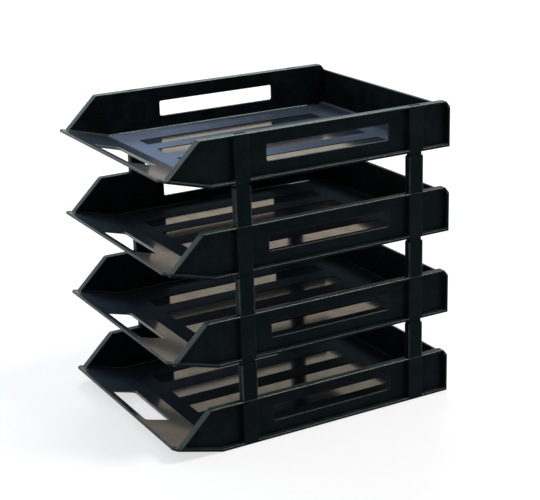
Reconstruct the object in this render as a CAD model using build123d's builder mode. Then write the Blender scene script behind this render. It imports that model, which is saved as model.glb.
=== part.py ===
from build123d import *
import math
import os

# Four-tier document tray: identical moulded trays stacked on plug-in risers.
# Millimetres. X runs to the right, Y to the rear and Z up; the origin is under the middle of the stack.

# Stack
tier_count = 4
tier_pitch = 94.0            # from one tray's underside to the next

# Tray, overall
tray_width = 260.0           # over the edge flanges
tray_depth = 340.0           # from the lip's front edge to the rear
wall_height = 50.0           # side wall, from the tray's underside

# Walls
floor_thickness = 3.0
wall_thickness = 2.5
flange_width = 6.0           # how far the edge flange stands out from the side wall
flange_thickness = 2.5
back_wall_drop = 6.0         # the back wall is this much lower than the side walls
rear_corner_length = 5.0     # sloping corner that leads down to the back wall
outline_round = 3.0          # rounding of the side wall's upper corners
edge_round = 1.0             # rounding of the edges that hands and paper touch
foot_round = 1.5             # rounding inside, where the walls stand on the floor

# Front ramp
ramp_length = 56.0
lip_height = 18.0            # top of the lip's front edge
slant_foot = 8.7             # the side wall's sloping front edge starts this far behind the lip
slant_run = 35.3             # and runs back this far on its way to the top
lip_corner = 6.0             # the lip's corners are cut back over this length
finger_slot_width = 90.0
finger_slot_length = 27.5
finger_slot_inset = 8.0      # from the lip's front edge
finger_slot_round = 3.0

# Side windows, between the two posts of each wall
window_height = 17.0
window_margin = 22.0         # from each post to the window
window_round = 2.0

# Smooth bands sunk into the floor
band_count = 4
band_width = 24.0
band_pitch = 46.7
band_depth = 0.5
band_front_margin = 19.0     # behind the ramp's fold
band_rear_margin = 41.5      # in front of the back wall
band_round = 1.5

# Socket posts on the side walls, and the tongues that plug into them
post_width = 18.0
post_front_inset = 90.0      # post centre behind the lip's front edge
post_rear_inset = 43.0       # post centre in front of the rear
socket_gap = 3.6
socket_length = 13.0
tongue_length = 16.0
tongue_clearance = 0.2       # on each side of a tongue
tongue_end_gap = 2.0         # left in the socket beyond the tongue's tip
tongue_lead = 0.8            # bevel on the tongue's tip
neck_height = 3.0            # narrow neck on top of the riser's column, which the next tray rests on
neck_width = 14.5
neck_depth = 6.0
riser_round = 2.5            # rounding of the column's upper corners

# Places worked out from the sizes above
front_y = -tray_depth / 2
rear_y = tray_depth / 2
fold_y = front_y + ramp_length
ramp_angle = math.atan2(lip_height - floor_thickness, ramp_length)
ramp_drop = floor_thickness / math.cos(ramp_angle)
under_fold_y = fold_y - floor_thickness * math.tan(ramp_angle / 2)
outer_x = tray_width / 2
wall_outer_x = outer_x - flange_width
wall_inner_x = wall_outer_x - wall_thickness
post_depth = outer_x - wall_inner_x
post_x = (outer_x + wall_inner_x) / 2
front_post_y = front_y + post_front_inset
rear_post_y = rear_y - post_rear_inset
post_places = [(side * post_x, y) for side in (-1, 1) for y in (front_post_y, rear_post_y)]
back_wall_height = wall_height - back_wall_drop
back_wall_y = rear_y - wall_thickness
slant_foot_y = front_y + slant_foot
slant_top_y = slant_foot_y + slant_run
slant_foot_z = lip_height - slant_foot * math.tan(ramp_angle)
window_front_y = front_post_y + post_width / 2 + window_margin
window_rear_y = rear_post_y - post_width / 2 - window_margin
window_middle_z = (floor_thickness + wall_height - flange_thickness) / 2
band_front_y = fold_y + band_front_margin
band_rear_y = back_wall_y - band_rear_margin
socket_depth = tongue_length + tongue_end_gap
riser_height = tier_pitch - wall_height
column_height = riser_height - neck_height
near = 0.3                   # how close a face or an edge must be to count as found


def lies_on_top(point):
    """Tells whether a point is as high as the floor's or the ramp's upper side."""
    rise = max(0.0, fold_y - point.Y) * math.tan(ramp_angle)
    return abs(point.Z - floor_thickness - rise) < near


# Outlines seen from the side, as (Y, Z) points
floor_outline = [
    (front_y, lip_height),
    (fold_y, floor_thickness),
    (rear_y, floor_thickness),
    (rear_y, 0),
    (under_fold_y, 0),
    (front_y, lip_height - ramp_drop),
]
wall_outline = [
    (slant_foot_y, slant_foot_z),
    (slant_top_y, wall_height),
    (rear_y - rear_corner_length, wall_height),
    (rear_y, back_wall_height),
    (rear_y, 0),
    (under_fold_y, 0),
    (slant_foot_y, slant_foot_z - ramp_drop),
]

with BuildPart() as tray:
    # Floor with its front ramp, as wide as the flanges
    with BuildSketch(Plane.YZ.offset(-outer_x)):
        with BuildLine():
            Polyline(*floor_outline, close=True)
        make_face()
    extrude(amount=tray_width)

    # The lip is only as wide as the walls, so its corners are cut back to the flanges
    with BuildSketch(Plane.XY):
        with BuildLine():
            Polyline(
                (wall_outer_x, front_y),
                (outer_x, front_y),
                (outer_x, front_y + lip_corner),
                close=True,
            )
        make_face()
        mirror(about=Plane.YZ)
    extrude(amount=lip_height, mode=Mode.SUBTRACT)

    # Side walls, and the flange that runs round each of them
    for wall_x, flange_x in ((-wall_outer_x, -outer_x), (wall_inner_x, wall_inner_x)):
        with BuildSketch(Plane.YZ.offset(wall_x)) as wall_side:
            with BuildLine():
                Polyline(*wall_outline, close=True)
            make_face()
            fillet(wall_side.vertices().group_by(Axis.Y)[-1], outline_round)
        extrude(amount=wall_thickness)
        with BuildSketch(Plane.YZ.offset(flange_x)):
            add(wall_side.sketch_local)
            offset(amount=-flange_thickness, kind=Kind.INTERSECTION, mode=Mode.SUBTRACT)
        extrude(amount=post_depth)

    # Back wall
    with BuildSketch(Plane.XZ.offset(-rear_y)):
        with Locations((0, back_wall_height / 2)):
            Rectangle(2 * wall_outer_x, back_wall_height)
    extrude(amount=wall_thickness)

    # Socket posts
    with BuildSketch(Plane.XY):
        with Locations(*post_places):
            Rectangle(post_depth, post_width)
    extrude(amount=wall_height)

    # Windows through both side walls
    with BuildSketch(Plane.YZ.offset(-outer_x)):
        with Locations(((window_front_y + window_rear_y) / 2, window_middle_z)):
            RectangleRounded(window_rear_y - window_front_y, window_height, window_round)
    extrude(amount=tray_width, mode=Mode.SUBTRACT)

    # Finger slot through the ramp
    with BuildSketch(Plane.XY):
        with Locations((0, front_y + finger_slot_inset + finger_slot_length / 2)):
            RectangleRounded(finger_slot_width, finger_slot_length, finger_slot_round)
    extrude(amount=lip_height, mode=Mode.SUBTRACT)

    # Smooth bands in the floor
    with BuildSketch(Plane.XY.offset(floor_thickness)):
        with Locations((0, (band_front_y + band_rear_y) / 2)):
            with GridLocations(band_pitch, 0, band_count, 1):
                RectangleRounded(band_width, band_rear_y - band_front_y, band_round)
    extrude(amount=-band_depth, mode=Mode.SUBTRACT)

    # Sockets, open at the top and at the bottom of each post
    for socket_plane, reach in ((Plane.XY.offset(wall_height), -socket_depth), (Plane.XY, socket_depth)):
        with BuildSketch(socket_plane):
            with Locations(*post_places):
                Rectangle(socket_gap, socket_length)
        extrude(amount=reach, mode=Mode.SUBTRACT)

    # Rounded edges: the feet of the walls, inside
    foot_edges = []
    for edge in tray.edges():
        by_side = abs(abs(edge.center().X) - wall_inner_x) < near
        by_back = abs(edge.center().Y - back_wall_y) < near and abs(edge.center().X) < near
        if (by_side or by_back) and all(lies_on_top(end) for end in edge.vertices()):
            foot_edges.append(edge)
    fillet(foot_edges, foot_round)

    # The rims and the outer edges of the side walls
    rim_edges = []
    for face in tray.faces():
        on_rim = face.normal_at().Z > near and abs(abs(face.center().X) - post_x) < near
        outside = abs(abs(face.center().X) - outer_x) < near
        for edge in face.edges():
            inner = abs(abs(edge.center().X) - wall_inner_x) < near
            at_rear = edge.center().Y > rear_y - near
            if not at_rear and (outside or (on_rim and inner)):
                rim_edges.append(edge)
    fillet(rim_edges, edge_round)

    # The back wall's top and the lip
    back_top = tray.faces().filter_by(Axis.Z).filter_by_position(
        Axis.Z, back_wall_height - near, back_wall_height + near
    )
    fillet(back_top.edges().filter_by(Axis.X), edge_round)
    fillet(tray.edges().filter_by(Axis.X).group_by(Axis.Y)[0], edge_round)

    # The finger slot and the windows
    hole_edges = []
    for face in tray.faces():
        on_ramp = front_y < face.center().Y < fold_y
        on_wall = abs(abs(face.center().X) - (wall_outer_x + wall_inner_x) / 2) < wall_thickness
        if on_ramp or on_wall:
            for hole in face.inner_wires():
                hole_edges += hole.edges()
    fillet(hole_edges, edge_round)

with BuildPart() as riser:
    # Column, with its upper corners and its upright edges rounded
    with BuildSketch(Plane.YZ.offset(-post_depth / 2)) as riser_side:
        with Locations((0, column_height / 2)):
            Rectangle(post_width, column_height)
        fillet(riser_side.vertices().group_by(Axis.Y)[-1], riser_round)
    extrude(amount=post_depth)
    fillet(riser.edges().filter_by(Axis.Z), edge_round)

    # Neck
    with BuildSketch(Plane.XY.offset(column_height)):
        Rectangle(neck_depth, neck_width)
    extrude(amount=neck_height)

    # Tongues for the socket below and the socket above
    for tongue_plane, reach in ((Plane.XY, -tongue_length), (Plane.XY.offset(riser_height), tongue_length)):
        with BuildSketch(tongue_plane):
            Rectangle(socket_gap - 2 * tongue_clearance, socket_length - 2 * tongue_clearance)
        extrude(amount=reach)
    for tip in (riser.faces().sort_by(Axis.Z)[0], riser.faces().sort_by(Axis.Z)[-1]):
        chamfer(tip.edges(), tongue_lead)

# One file for each piece, at its place in the stack
os.makedirs("parts", exist_ok=True)
corner_names = ("front_left", "rear_left", "front_right", "rear_right")
for tier in range(tier_count):
    tray_z = tier * tier_pitch
    placed_tray = Pos(0, 0, tray_z) * tray.part
    placed_tray.label = f"tray_{tier + 1}"
    export_step(placed_tray, f"parts/{placed_tray.label}.step")
    if tier == tier_count - 1:
        break
    for corner, (x, y) in zip(corner_names, post_places):
        placed_riser = Pos(x, y, tray_z + wall_height) * riser.part
        placed_riser.label = f"riser_{tier + 1}_{corner}"
        export_step(placed_riser, f"parts/{placed_riser.label}.step")
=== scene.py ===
# %% [markdown]
# # A tiered document tray in black plastic
#
# The real object is a stack of four open letter trays. Each one is a single moulding in black plastic,
# and twelve plug-in risers hold the tiers apart. The solids already have the right shape and size,
# so this lesson is about the finish: what black plastic looks like, and how to light it.
# The frame is loaded first. Lengths below are in metres, in the same frame as the solids, and only
# the camera's lens and sensor are in millimetres.

# %% Load the solids
import math

import bpy
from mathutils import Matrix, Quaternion, Vector


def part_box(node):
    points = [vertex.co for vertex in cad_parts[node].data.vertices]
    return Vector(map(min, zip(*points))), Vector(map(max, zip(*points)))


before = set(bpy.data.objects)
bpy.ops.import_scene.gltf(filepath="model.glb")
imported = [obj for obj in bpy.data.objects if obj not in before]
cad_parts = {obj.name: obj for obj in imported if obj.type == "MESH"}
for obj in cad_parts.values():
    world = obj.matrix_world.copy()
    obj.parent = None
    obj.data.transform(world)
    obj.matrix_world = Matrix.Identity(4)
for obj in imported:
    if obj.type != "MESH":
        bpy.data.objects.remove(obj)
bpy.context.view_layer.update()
trays = [name for name in sorted(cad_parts) if name.startswith("tray")]
risers = [name for name in sorted(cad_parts) if name.startswith("riser")]
print("trays", len(trays), "risers", len(risers))

# %% [markdown]
# ## Sizes the finishes need
#
# A finish that changes from place to place has to know where it is. On these solids Object coordinates
# are metres in the shared frame, so a few sizes of the tray are enough to tell its floor, its front ramp,
# its walls and its edges apart. What the solids' boxes give is measured here, which is safer than typing
# it in. The sizes inside a tray are written down where they are first needed.

# %% Measure one tray and the step to the next
tray_low, tray_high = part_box(trays[0])
tier_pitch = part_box(trays[1])[0].z - tray_low.z
wall_height = tray_high.z - tray_low.z
front_y = tray_low.y
rear_y = tray_high.y
print("pitch", round(tier_pitch, 4), "wall", round(wall_height, 4), "front", round(front_y, 4))

# %% [markdown]
# ## The camera
#
# The photograph was taken from the front right, a little above the top tray. A camera is a place,
# a direction and a lens. The direction could be a rotation that is typed in, or a constraint that tracks
# the object. Here it is a compass angle, a height angle and a roll, because these are easy to read
# and can be changed one at a time.

# %% Place the camera
camera_place = Vector((1.2988, -0.7038, 0.6547))
camera_azimuth = math.radians(60.86)
camera_elevation = math.radians(18.45)
camera_roll = math.radians(-1.69)
camera_lens = 93.52

look = Vector((
    -math.sin(camera_azimuth) * math.cos(camera_elevation),
    math.cos(camera_azimuth) * math.cos(camera_elevation),
    -math.sin(camera_elevation),
))
turn = look.to_track_quat("-Z", "Y") @ Quaternion((0, 0, 1), camera_roll)
bpy.ops.object.camera_add(location=camera_place, rotation=turn.to_euler())
camera = bpy.context.object
camera.name = "camera"
camera.data.lens = camera_lens
camera.data.sensor_width = 36.0
camera.data.clip_start = 0.01
bpy.context.scene.camera = camera
bpy.context.scene.view_settings.view_transform = "Standard"
print("camera looks along", [round(v, 3) for v in look])

# %% [markdown]
# ## Small helpers for shader nodes
#
# A material is a graph of nodes, which can be drawn by hand in the shader editor. In code, a few helpers
# keep that graph readable: one adds a node and fills its inputs with a number or with another node's
# output, one does the same for a sum, one mixes two colours, and one turns a distance into a soft mask.

# %% Helpers that add nodes


def fill(tree, socket, value):
    if isinstance(value, bpy.types.NodeSocket):
        tree.links.new(value, socket)
    else:
        socket.default_value = value


def add_node(tree, kind, inputs=None, **settings):
    node = tree.nodes.new(kind)
    for name, value in settings.items():
        setattr(node, name, value)
    for name, value in (inputs or {}).items():
        fill(tree, node.inputs[name], value)
    return node


def calculate(tree, operation, *values):
    node = tree.nodes.new("ShaderNodeMath")
    node.operation = operation
    for index, value in enumerate(values):
        fill(tree, node.inputs[index], value)
    return node.outputs[0]


def mix_colours(tree, factor, first, second):
    node = tree.nodes.new("ShaderNodeMix")
    node.data_type = "RGBA"
    for name, value in (("Factor_Float", factor), ("A_Color", first), ("B_Color", second)):
        fill(tree, next(s for s in node.inputs if s.identifier == name), value)
    return next(s for s in node.outputs if s.identifier == "Result_Color")


print("helpers that add nodes are ready")

# %% Helpers for masks and materials


def fade(tree, value, start, end):
    """Runs smoothly from 0 at start to 1 at end."""
    limits = {"Value": value, "From Min": start, "From Max": end}
    node = add_node(tree, "ShaderNodeMapRange", limits, interpolation_type="SMOOTHSTEP")
    return node.outputs[0]


def apart(tree, first, second):
    """Tells how far two values are from each other."""
    return calculate(tree, "ABSOLUTE", calculate(tree, "SUBTRACT", first, second))


def all_of(tree, *masks):
    result = masks[0]
    for mask in masks[1:]:
        result = calculate(tree, "MULTIPLY", result, mask)
    return result


def any_of(tree, *masks):
    result = masks[0]
    for mask in masks[1:]:
        result = calculate(tree, "MAXIMUM", result, mask)
    return result


def start_material(name):
    material = bpy.data.materials.new(name)
    material.use_nodes = True
    material.node_tree.nodes.clear()
    return material, material.node_tree


print("helpers for masks are ready")

# %% [markdown]
# ## Floor and surroundings
#
# In the photograph the stack stands before plain white. Strong lamps on a white floor could give that,
# but they would light the object too. So Light Path tells the rays apart. The floor is white to the camera,
# to mirrors and to glass, and a plain grey to all other rays. About half of that white is real light,
# so the floor still takes the object's soft shadow. The world is white to the camera and a dim grey to
# plain light. To mirrors and glass it is a pale sky, warm low down and cool overhead, because that is
# what the polished plastic shows.

# %% Make the floor
floor_size = 14.0
floor_drop = 0.0004
floor_grey = (0.6, 0.6, 0.6, 1)
seen_grey = (0.54, 0.50, 0.50, 1)
white = (1, 1, 1, 1)
white_glow = 0.66
bpy.ops.mesh.primitive_plane_add(size=floor_size, location=(0, 0, -floor_drop))
floor = bpy.context.object
floor.name = "floor"
floor_material, tree = start_material("pale_floor")
path = add_node(tree, "ShaderNodeLightPath")
paint = add_node(tree, "ShaderNodeBsdfDiffuse", {"Color": floor_grey})
seen_paint = add_node(tree, "ShaderNodeBsdfDiffuse", {"Color": seen_grey})
glow = add_node(tree, "ShaderNodeEmission", {"Color": white, "Strength": white_glow})
seen = add_node(tree, "ShaderNodeAddShader", {0: seen_paint.outputs[0], 1: glow.outputs[0]})
looked_at = any_of(
    tree,
    path.outputs["Is Camera Ray"],
    path.outputs["Is Glossy Ray"],
    path.outputs["Is Transmission Ray"],
)
both = add_node(tree, "ShaderNodeMixShader", {0: looked_at, 1: paint.outputs[0], 2: seen.outputs[0]})
add_node(tree, "ShaderNodeOutputMaterial", {"Surface": both.outputs[0]})
floor.data.materials.append(floor_material)
print("floor", floor_size, "m wide")

# %% Make the surroundings
horizon = (0.98, 0.82, 0.64, 1)
haze = (1.0, 0.87, 0.70, 1)
zenith = (0.66, 0.83, 1.0, 1)
ambient = (0.35, 0.36, 0.38, 1)
# Heights in the sky run from 0 at the horizon to 1 straight overhead.
haze_heights = (0.0, 0.25)
zenith_heights = (0.48, 0.75)
world = bpy.data.worlds.new("studio")
bpy.context.scene.world = world
world.use_nodes = True
tree = world.node_tree
tree.nodes.clear()
path = add_node(tree, "ShaderNodeLightPath")
direction = add_node(tree, "ShaderNodeTexCoord").outputs["Generated"]
height = add_node(tree, "ShaderNodeSeparateXYZ", {0: direction}).outputs["Z"]
low_sky = mix_colours(tree, fade(tree, height, *haze_heights), horizon, haze)
sky = mix_colours(tree, fade(tree, height, *zenith_heights), low_sky, zenith)
mirrored = any_of(tree, path.outputs["Is Glossy Ray"], path.outputs["Is Transmission Ray"])
around = mix_colours(tree, mirrored, ambient, sky)
backdrop = mix_colours(tree, path.outputs["Is Camera Ray"], around, white)
sheet = add_node(tree, "ShaderNodeBackground", {"Color": backdrop, "Strength": 1.0})
add_node(tree, "ShaderNodeOutputWorld", {"Surface": sheet.outputs[0]})
print("world ready")

# %% [markdown]
# ## Light
#
# Black plastic shows almost nothing but reflections, so a lamp is placed for what mirrors it.
# One stands high behind the stack, where the rounded rims along the sides catch it as fine pale lines.
# One stands low on the left and is blue-green, and the sloping front edges and the lips face it. The third
# is a cool window light from the rear left, which lies on the dusty floors. Area lamps are brighter near by
# than far away. Sun lamps give the same light all over the floor, a wide angle makes them soft,
# and together they are at a plain level.

# %% Add the lamps
lamp_distance = 3.0


def add_lamp(name, towards, level, softness, colour):
    place = Vector(towards).normalized() * lamp_distance
    bpy.ops.object.light_add(type="SUN", location=place)
    lamp = bpy.context.object
    lamp.name = name
    lamp.rotation_euler = place.to_track_quat("Z", "Y").to_euler()
    lamp.data.energy = level
    lamp.data.angle = math.radians(softness)
    lamp.data.color = colour


add_lamp("rim_lamp", (0.28, 0.46, 0.84), level=1.2, softness=18.0, colour=(0.88, 1.0, 0.93))
add_lamp("slope_lamp", (-0.83, -0.32, 0.47), level=0.7, softness=48.0, colour=(0.48, 0.91, 1.0))
add_lamp("window_lamp", (-0.66, 0.36, 0.66), level=1.0, softness=24.0, colour=(0.80, 0.90, 1.0))
print("lamps ready")

# %% [markdown]
# ## Effects that both plastics share
#
# Injection-moulded plastic is never quite even. The mould's etched skin leaves a fine grain, the melt
# cools with slow swells and cloudy patches, and handling leaves thin drag marks. These could be painted
# as images, but noise that is worked out from the place needs no files and stays sharp close up.
# The trays and the risers both have these effects, so each one is a node group that is built once
# and then placed with its own values.

# %% Helper that starts a node group


def start_group(name, inputs, outputs):
    group = bpy.data.node_groups.new(name, "ShaderNodeTree")
    for label, kind, value in inputs:
        socket = group.interface.new_socket(label, in_out="INPUT", socket_type=kind)
        if value is not None:
            socket.default_value = value
    for label in outputs:
        group.interface.new_socket(label, in_out="OUTPUT", socket_type="NodeSocketFloat")
    entry = group.nodes.new("NodeGroupInput")
    leave = group.nodes.new("NodeGroupOutput")
    return group, entry.outputs, leave.inputs


print("group helper ready")

# %% Moulded grain: fine etched pits and slow swells, as heights in metres
moulded_grain, given, result = start_group("moulded_grain", [
    ("Place", "NodeSocketVector", None),
    ("Grains per metre", "NodeSocketFloat", 1500.0),
    ("Pit depth", "NodeSocketFloat", 0.00002),
    ("Swell height", "NodeSocketFloat", 0.00006),
], ["Height"])
pits = add_node(moulded_grain, "ShaderNodeTexVoronoi", {
    "Vector": given["Place"], "Scale": given["Grains per metre"], "Randomness": 1.0,
}, feature="SMOOTH_F1")
swells = add_node(moulded_grain, "ShaderNodeTexNoise", {
    "Vector": given["Place"], "Scale": 18.0, "Detail": 1.5, "Roughness": 0.4,
})
pit_height = calculate(moulded_grain, "MULTIPLY", pits.outputs["Distance"], given["Pit depth"])
swell_height = calculate(moulded_grain, "MULTIPLY", swells.outputs[0], given["Swell height"])
fill(moulded_grain, result["Height"], calculate(moulded_grain, "ADD", pit_height, swell_height))
print("grain group", len(moulded_grain.nodes), "nodes")

# %% Cloudy patches: where the melt cooled a little duller
cloud_limits = (0.38, 0.66)
speck_limits = (0.60, 0.74)
cloudy_patches, given, result = start_group("cloudy_patches", [
    ("Place", "NodeSocketVector", None),
    ("Patches per metre", "NodeSocketFloat", 40.0),
], ["Cloud", "Speckle"])
clouds = add_node(cloudy_patches, "ShaderNodeTexNoise", {
    "Vector": given["Place"], "Scale": given["Patches per metre"], "Detail": 5.0, "Roughness": 0.6,
    "Distortion": 0.4,
})
specks = add_node(cloudy_patches, "ShaderNodeTexNoise", {
    "Vector": given["Place"], "Scale": 700.0, "Detail": 2.0, "Roughness": 0.5,
})
fill(cloudy_patches, result["Cloud"], fade(cloudy_patches, clouds.outputs[0], *cloud_limits))
fill(cloudy_patches, result["Speckle"], fade(cloudy_patches, specks.outputs[0], *speck_limits))
print("cloud group", len(cloudy_patches.nodes), "nodes")

# %% Drag marks: thin lines that sliding paper and hands leave
line_limits = (0.55, 0.68)
break_limits = (0.42, 0.62)
drag_marks, given, result = start_group("drag_marks", [
    ("Place", "NodeSocketVector", None),
    ("Stretch", "NodeSocketVector", (600.0, 14.0, 600.0)),
], ["Lines"])
stretched = add_node(drag_marks, "ShaderNodeVectorMath", {
    0: given["Place"], 1: given["Stretch"],
}, operation="MULTIPLY")
lines = add_node(drag_marks, "ShaderNodeTexNoise", {
    "Vector": stretched.outputs[0], "Scale": 1.0, "Detail": 3.0, "Roughness": 0.55,
})
breaks = add_node(drag_marks, "ShaderNodeTexNoise", {
    "Vector": given["Place"], "Scale": 26.0, "Detail": 2.0,
})
thin = fade(drag_marks, lines.outputs[0], *line_limits)
unbroken = fade(drag_marks, breaks.outputs[0], *break_limits)
fill(drag_marks, result["Lines"], all_of(drag_marks, thin, unbroken))
print("drag mark group", len(drag_marks.nodes), "nodes")

# %% [markdown]
# ## Black tray plastic: telling the zones apart
#
# A tray is one moulding with several finishes, because the mould is polished in some places and etched in
# others. The floor field is matt, the sunken bands in it are polished, the ramp lies between the two, and
# the walls have a dull grain. Each face could have a material of its own, but then every border would be
# hard. Masks that are worked out from the place can fade, and they leave the solids' meshes alone.
# The four trays are alike, so the height is wrapped at the tier pitch, and one material serves them all.

# %% Read where each point of a tray is
floor_top = 0.003
ramp_length = 0.056
ramp_rise = 0.015
fold_y = front_y + ramp_length
# The margin keeps a tray's underside from being wrapped to the top of the tier below.
wrap_margin = 0.001
tray_finish, tree = start_material("black_tray_plastic")
coordinates = add_node(tree, "ShaderNodeTexCoord")
place = coordinates.outputs["Object"]
axes = add_node(tree, "ShaderNodeSeparateXYZ", {0: place})
normal = add_node(tree, "ShaderNodeSeparateXYZ", {0: coordinates.outputs["Normal"]})
across = calculate(tree, "ABSOLUTE", axes.outputs["X"])
along = axes.outputs["Y"]
raised = calculate(tree, "ADD", axes.outputs["Z"], wrap_margin)
wrapped = calculate(tree, "FLOORED_MODULO", raised, tier_pitch)
level = calculate(tree, "SUBTRACT", wrapped, wrap_margin)
before_fold = calculate(tree, "MAXIMUM", calculate(tree, "SUBTRACT", fold_y, along), 0.0)
top_here = calculate(tree, "MULTIPLY_ADD", before_fold, ramp_rise / ramp_length, floor_top)
above_floor = calculate(tree, "SUBTRACT", level, top_here)
print("tray material reads its place, and the ramp folds at y", round(fold_y, 4))

# %% Floor field, bands and ramp
wall_inner_x = 0.1215
foot_round = 0.0015
foot_x = wall_inner_x - foot_round
band_depth = 0.0005
# A point this close to a surface counts as on it.
slack = 0.0002
upward_limits = (0.6, 0.8)
upward = fade(tree, normal.outputs["Z"], *upward_limits)
inside = calculate(tree, "LESS_THAN", across, foot_x)
behind_fold = calculate(tree, "GREATER_THAN", along, fold_y)
ahead_of_fold = calculate(tree, "LESS_THAN", along, fold_y)


def floor_at(tree, height):
    """Is 1 on the flat floor that lies at this height, measured from the field."""
    close = calculate(tree, "LESS_THAN", apart(tree, above_floor, height), slack)
    return all_of(tree, close, inside, behind_fold, upward)


on_ramp = all_of(tree, ahead_of_fold, inside, upward)
on_band = floor_at(tree, -band_depth)
on_field = floor_at(tree, 0.0)
print("zones: field, bands, ramp")

# %% [markdown]
# ## Black tray plastic: polished edges
#
# In the photograph every rounded edge shows as a pale line: the rims, the sloping front edges, the ledges
# at the walls' feet, the window and slot edges and the lip. So these are glossier than the grained faces.
# Pointiness could find edges, but it changes with the mesh. Here each edge is a line at a known place,
# and a point belongs to it where its distance is small. The flat tops of the rims stay dull, the flat
# parts of the slopes are nearly as dull, and lips, windows and ledges are only partly polished.

# %% Distances to the edges
# Pairs for the side walls are (y, z), and pairs for the finger slot are (x, y).
slant_foot = (front_y + 0.0087, 0.01567)
slant_top = (front_y + 0.044, wall_height)
window_middle = (0.0235, 0.02525)
window_half = (0.0725, 0.0085)
slot_middle = (0.0, front_y + 0.02175)
slot_half = (0.045, 0.01375)


def outside_box(tree, first, second, middle, half):
    """Tells how far a point lies outside a rectangle, and is below zero inside it."""
    first_out = calculate(tree, "SUBTRACT", apart(tree, first, middle[0]), half[0])
    second_out = calculate(tree, "SUBTRACT", apart(tree, second, middle[1]), half[1])
    return calculate(tree, "MAXIMUM", first_out, second_out)


slant_run, slant_rise = (Vector(slant_top) - Vector(slant_foot)).normalized()
run_part = calculate(tree, "MULTIPLY", calculate(tree, "SUBTRACT", along, slant_foot[0]), slant_rise)
rise_part = calculate(tree, "MULTIPLY", calculate(tree, "SUBTRACT", level, slant_foot[1]), slant_run)
below_slant = calculate(tree, "SUBTRACT", run_part, rise_part)
below_top = calculate(tree, "SUBTRACT", wall_height, level)
below_rim = calculate(tree, "MINIMUM", below_top, below_slant)
window_out = outside_box(tree, along, level, window_middle, window_half)
slot_out = outside_box(tree, across, along, slot_middle, slot_half)
print("distances to rims, windows and slots")

# %% Masks of the side walls' and the ramp's edges
wall_outer_x = 0.124
wall_slack = 0.0003
ledge_drop = 0.0004
sideways_limits = (0.98, 0.90)
edge_limits = (0.0020, 0.0009)


def near_edge(tree, distance):
    return fade(tree, calculate(tree, "ABSOLUTE", distance), *edge_limits)


on_wall = calculate(tree, "GREATER_THAN", across, wall_inner_x - wall_slack)
beyond_wall = calculate(tree, "GREATER_THAN", across, wall_outer_x + wall_slack)
not_sideways = fade(tree, calculate(tree, "ABSOLUTE", normal.outputs["X"]), *sideways_limits)
rim = all_of(tree, near_edge(tree, below_rim), on_wall, not_sideways)
window_edge = all_of(tree, near_edge(tree, window_out), on_wall, not_sideways)
above_ledge = calculate(tree, "ADD", above_floor, ledge_drop)
ledge = all_of(tree, near_edge(tree, above_ledge), beyond_wall, not_sideways)
slot_edge = all_of(tree, near_edge(tree, slot_out), ahead_of_fold)
lip_edge = near_edge(tree, calculate(tree, "SUBTRACT", along, front_y))
print("rims, windows, ledges, slots and lips found")

# %% Masks of the back wall's edge and the walls' feet
back_wall_thickness = 0.0025
back_wall_y = rear_y - back_wall_thickness
back_wall_top = 0.044
under_limits = (-0.0004, 0.0)
at_back = calculate(tree, "GREATER_THAN", along, back_wall_y - wall_slack)
below_back_top = calculate(tree, "SUBTRACT", back_wall_top, level)
back_edge = all_of(tree, near_edge(tree, below_back_top), at_back)
low_down = calculate(tree, "LESS_THAN", above_floor, foot_round)
not_under = fade(tree, above_floor, *under_limits)
in_tray = calculate(tree, "LESS_THAN", across, wall_inner_x)
by_side_wall = fade(tree, across, foot_x - slack, foot_x + slack)
wall_foot = all_of(tree, by_side_wall, low_down, in_tray, not_under)
polished = any_of(tree, rim, window_edge, ledge, slot_edge, lip_edge, back_edge, wall_foot)
print("polished edges found")

# %% Parts of the edges that are less polished
flat_limits = (0.95, 0.99)
slope_dullness = 0.7
part_dullness = 0.6
flat_rim = all_of(tree, rim, fade(tree, normal.outputs["Z"], *flat_limits))
front_part = calculate(tree, "MULTIPLY", normal.outputs["Y"], -slant_rise)
facing_slope = calculate(tree, "MULTIPLY_ADD", normal.outputs["Z"], slant_run, front_part)
flat_slope = all_of(tree, rim, fade(tree, facing_slope, *flat_limits))
dull_slope = calculate(tree, "MULTIPLY", flat_slope, slope_dullness)
partly_polished = any_of(tree, lip_edge, window_edge, ledge)
dull_part = calculate(tree, "MULTIPLY", partly_polished, part_dullness)
shine = calculate(tree, "SUBTRACT", polished, any_of(tree, flat_rim, dull_slope, dull_part))
print("shine of the edges ready")

# %% [markdown]
# ## Black tray plastic: colour, dust and wear
#
# The black is not neutral. It leans to blue-green, with bluer clouds. On the top tray a thin bluish film
# is painted on the matt floor. It is partly dust and partly a painted sheen, the pale sky that the open
# top floor mirrors at low angles. It is thickest towards the front, and a pale line, partly dust and partly
# painted highlight, runs along the foot of the back wall. The lower floors have a trace of it, and every
# ramp has a thin film. The rims get a paler, greener colour, partly wear and partly painted highlight,
# strongest on the top tray, whose rims are the most lit. Dust, wear and this painted light could be shaders
# of their own, mixed over the plastic. Here they only tint it, so they are mixed into its colour, and one
# shader is enough.

# %% Black of the tray plastic
deep_black = (0.0034, 0.0053, 0.0058, 1)
blue_black = (0.0072, 0.0100, 0.0126, 1)
patches = add_node(tree, "ShaderNodeGroup", {
    "Place": place, "Patches per metre": 52.0,
}, node_tree=cloudy_patches)
marks = add_node(tree, "ShaderNodeGroup", {
    "Place": place, "Stretch": (520.0, 9.0, 520.0),
}, node_tree=drag_marks)
cloud = patches.outputs["Cloud"]
plastic = mix_colours(tree, cloud, deep_black, blue_black)
print("tray black ready")
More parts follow.
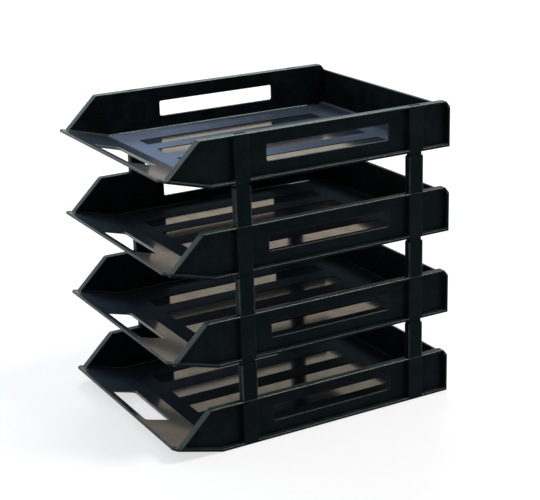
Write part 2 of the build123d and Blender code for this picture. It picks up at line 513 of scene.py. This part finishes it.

# %% Film of dust and painted sheen: thicker to the front, with clouds and specks in it
thin_film = 0.28
front_film = 0.80
film_start_y = 0.07
cloud_share = 0.10
speck_share = 0.25
to_front = fade(tree, along, film_start_y, fold_y)
gathered = calculate(tree, "MULTIPLY_ADD", to_front, front_film, thin_film)
uneven = calculate(tree, "MULTIPLY_ADD", cloud, cloud_share, gathered)
fine_marks = any_of(tree, patches.outputs["Speckle"], marks.outputs["Lines"])
film = calculate(tree, "MULTIPLY_ADD", fine_marks, speck_share, uneven)
print("dust film ready")

# %% Where the dust and the painted sheen lie
# A blue that is partly dust and partly a painted sheen of the pale sky.
dust_and_sheen_blue = (0.180, 0.212, 0.305, 1)
open_fade = 0.02
top_dust_and_sheen = 0.72
lower_dust_and_sheen = 0.06
band_dust_and_sheen = 0.2
ramp_film = 0.10
swept_dust_and_highlight = 0.9
back_foot_limits = (0.006, 0.002)
top_tier_z = tier_pitch * (len(trays) - 1)
open_above = fade(tree, axes.outputs["Z"], top_tier_z - open_fade, top_tier_z)
# The open top tray takes far more of it, partly as dust and partly as painted sheen where it is most lit.
settled_dust_and_sheen = calculate(tree, "MULTIPLY_ADD", open_above, top_dust_and_sheen, lower_dust_and_sheen)
kept = any_of(tree, on_field, calculate(tree, "MULTIPLY", on_band, band_dust_and_sheen))
# A pale line along the foot of the back wall, partly swept dust and partly a painted highlight.
by_back_wall = fade(tree, calculate(tree, "SUBTRACT", back_wall_y, along), *back_foot_limits)
back_foot = all_of(tree, by_back_wall, low_down, in_tray, not_under)
back_foot_dust_and_highlight = calculate(tree, "MULTIPLY", back_foot, swept_dust_and_highlight)
floor_dust_and_sheen = all_of(tree, any_of(tree, all_of(tree, kept, film), back_foot_dust_and_highlight), settled_dust_and_sheen)
ramp_dust_and_sheen = calculate(tree, "MULTIPLY", all_of(tree, on_ramp, film), ramp_film)
# Dust and painted sheen tint the black.
dust_and_sheen_colour = mix_colours(tree, any_of(tree, floor_dust_and_sheen, ramp_dust_and_sheen), plastic, dust_and_sheen_blue)
print("dust laid on floors and ramps")

# %% Wear and painted highlights on the edges
# A pale green that is partly wear and partly a painted highlight on the rims, lips and ledges.
wear_and_highlight_green = (0.215, 0.265, 0.225, 1)
plain_wear_and_highlight = 0.6
cloud_wear_and_highlight = 0.35
lip_share = 0.2
ledge_share = 0.5
top_wear_and_highlight = 0.45
lower_wear_and_highlight = 0.20
patchy = calculate(tree, "MULTIPLY_ADD", cloud, cloud_wear_and_highlight, plain_wear_and_highlight)
lip_wear_and_highlight = calculate(tree, "MULTIPLY", lip_edge, lip_share)
ledge_wear_and_highlight = calculate(tree, "MULTIPLY", ledge, ledge_share)
worn_and_highlit_edges = any_of(tree, rim, lip_wear_and_highlight, slot_edge, ledge_wear_and_highlight)
wear_and_highlight_mask = calculate(tree, "SUBTRACT", worn_and_highlit_edges, flat_slope)
# The top tray's edges get more of it, as wear and as painted highlight where they are most lit.
handled_and_highlit = calculate(tree, "MULTIPLY_ADD", open_above, top_wear_and_highlight, lower_wear_and_highlight)
tray_colour = mix_colours(tree, all_of(tree, wear_and_highlight_mask, patchy, handled_and_highlit), dust_and_sheen_colour, wear_and_highlight_green)
print("tray colour ready")

# %% [markdown]
# ## Black tray plastic: gloss and relief
#
# The plastic itself reflects very weakly. Where the mould was polished, a clear coat adds a sharp
# reflection of its own on top, which a lower roughness alone can't do. A thin bluish sheen shows
# at low angles, as fine dust does. The grain could be real displacement, but pits of hundredths
# of a millimetre would need millions of triangles. So relief is a bump, given as true heights in metres,
# which keeps its scale.

# %% Gloss of the tray plastic
plain_roughness = 0.36
off_polish = calculate(tree, "SUBTRACT", 1.0, any_of(tree, on_band, on_ramp))
# Each mask adds its change to the plain roughness.
roughness_changes = [
    (all_of(tree, cloud, off_polish), 0.16),
    (on_field, 0.42),
    (on_ramp, -0.10),
    (on_band, -0.24),
    (shine, -0.16),
    (all_of(tree, on_field, marks.outputs["Lines"]), 0.08),
]
tray_roughness = plain_roughness
for mask, change in roughness_changes:
    tray_roughness = calculate(tree, "MULTIPLY_ADD", mask, change, tray_roughness)
print("tray roughness from", len(roughness_changes), "masks")

# %% Clear coat of the tray plastic
band_coat = 0.9
ramp_coat = 0.45
cloud_dims = 0.25
band_clear = calculate(tree, "MULTIPLY", on_band, band_coat)
ramp_clear = calculate(tree, "MULTIPLY", on_ramp, ramp_coat)
coat_left = calculate(tree, "MULTIPLY_ADD", cloud, -cloud_dims, 1.0)
tray_coat = calculate(tree, "MULTIPLY", any_of(tree, band_clear, ramp_clear, shine), coat_left)
print("tray coat ready")

# %% Relief of the tray plastic
grain_lost = 0.85
grain = add_node(tree, "ShaderNodeGroup", {
    "Place": place, "Grains per metre": 1300.0, "Pit depth": 0.00003, "Swell height": 0.00008,
}, node_tree=moulded_grain)
flattened = calculate(tree, "MULTIPLY", any_of(tree, on_band, polished), grain_lost)
etched = calculate(tree, "SUBTRACT", 1.0, flattened)
relief = add_node(tree, "ShaderNodeBump", {
    "Height": calculate(tree, "MULTIPLY", grain.outputs["Height"], etched),
    "Distance": 1.0,
    "Strength": 1.0,
})
print("tray relief ready")

# %% Put the finish on the trays
plastic_gloss = {
    "IOR": 1.5,
    "Specular IOR Level": 0.04,
    "Specular Tint": (0.55, 0.86, 1.0, 1),
    "Coat Roughness": 0.10,
    "Coat IOR": 1.5,
}


def put_on(names, finish):
    for name in names:
        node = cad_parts[name]
        node.data.materials.clear()
        node.data.materials.append(finish)


shader = add_node(tree, "ShaderNodeBsdfPrincipled", {
    "Base Color": tray_colour,
    "Roughness": tray_roughness,
    "Sheen Weight": 0.08,
    "Sheen Roughness": 0.3,
    "Sheen Tint": (0.55, 0.70, 1.0, 1),
    "Coat Weight": tray_coat,
    "Normal": relief.outputs["Normal"],
    **plastic_gloss,
})
add_node(tree, "ShaderNodeOutputMaterial", {"Surface": shader.outputs[0]})
put_on(trays, tray_finish)
print("tray plastic on", len(trays), "trays")

# %% [markdown]
# ## Black riser plastic
#
# The risers are separate mouldings that are drawn out of the mould lengthwise, so they carry fine upright
# draw lines, and their corners are rubbed by being plugged in and out. They could share the trays'
# material, but its masks are made for a tray's zones. So they have one of their own, with the same groups
# at other values: the drag marks now run up and down.

# %% Read where each point of a riser is
post_places_y = (-0.080, 0.127)
post_step_y = post_places_y[1] - post_places_y[0]
post_half_y = 0.009
post_half_x = (tray_high.x - wall_inner_x) / 2
post_middle_x = (wall_inner_x + tray_high.x) / 2
# Distances from a corner's faces at which its wear begins and is full.
corner_reach = 0.0018
corner_full = 0.0006
riser_finish, tree = start_material("black_riser_plastic")
place = add_node(tree, "ShaderNodeTexCoord").outputs["Object"]
axes = add_node(tree, "ShaderNodeSeparateXYZ", {0: place})
across = calculate(tree, "ABSOLUTE", axes.outputs["X"])
along = axes.outputs["Y"]
in_rear = calculate(tree, "GREATER_THAN", along, sum(post_places_y) / 2)
middle_y = calculate(tree, "MULTIPLY_ADD", in_rear, post_step_y, post_places_y[0])
off_x = apart(tree, across, post_middle_x)
off_y = apart(tree, along, middle_y)
corner_x = fade(tree, off_x, post_half_x - corner_reach, post_half_x - corner_full)
corner_y = fade(tree, off_y, post_half_y - corner_reach, post_half_y - corner_full)
corner = all_of(tree, corner_x, corner_y)
print("riser material reads its place, with posts at y", post_places_y)

# %% Colour of the riser plastic
green_black = (0.0028, 0.0066, 0.0066, 1)
corner_wear = 0.2
patches = add_node(tree, "ShaderNodeGroup", {
    "Place": place, "Patches per metre": 60.0,
}, node_tree=cloudy_patches)
cloud = patches.outputs["Cloud"]
plastic = mix_colours(tree, cloud, deep_black, green_black)
wear_and_highlight_mask = calculate(tree, "MULTIPLY", all_of(tree, corner, cloud), corner_wear)
riser_colour = mix_colours(tree, wear_and_highlight_mask, plastic, wear_and_highlight_green)
print("riser colour ready")

# %% Gloss and relief of the riser plastic
line_roughness = 0.12
corner_polish = 0.14
corner_coat = 0.3
line_relief = 0.00001
draw = add_node(tree, "ShaderNodeGroup", {
    "Place": place, "Stretch": (700.0, 700.0, 16.0),
}, node_tree=drag_marks)
grain = add_node(tree, "ShaderNodeGroup", {
    "Place": place, "Grains per metre": 1600.0, "Pit depth": 0.00002, "Swell height": 0.00004,
}, node_tree=moulded_grain)
lined = calculate(tree, "MULTIPLY_ADD", draw.outputs["Lines"], line_roughness, plain_roughness)
riser_roughness = calculate(tree, "MULTIPLY_ADD", corner, -corner_polish, lined)
line_height = calculate(tree, "MULTIPLY", draw.outputs["Lines"], line_relief)
relief = add_node(tree, "ShaderNodeBump", {
    "Height": calculate(tree, "ADD", grain.outputs["Height"], line_height),
    "Distance": 1.0,
    "Strength": 1.0,
})
print("riser gloss and relief ready")

# %% Put the finish on the risers
shader = add_node(tree, "ShaderNodeBsdfPrincipled", {
    "Base Color": riser_colour,
    "Roughness": riser_roughness,
    "Coat Weight": calculate(tree, "MULTIPLY", corner, corner_coat),
    "Normal": relief.outputs["Normal"],
    **plastic_gloss,
})
add_node(tree, "ShaderNodeOutputMaterial", {"Surface": shader.outputs[0]})
put_on(risers, riser_finish)
print("riser plastic on", len(risers), "risers")
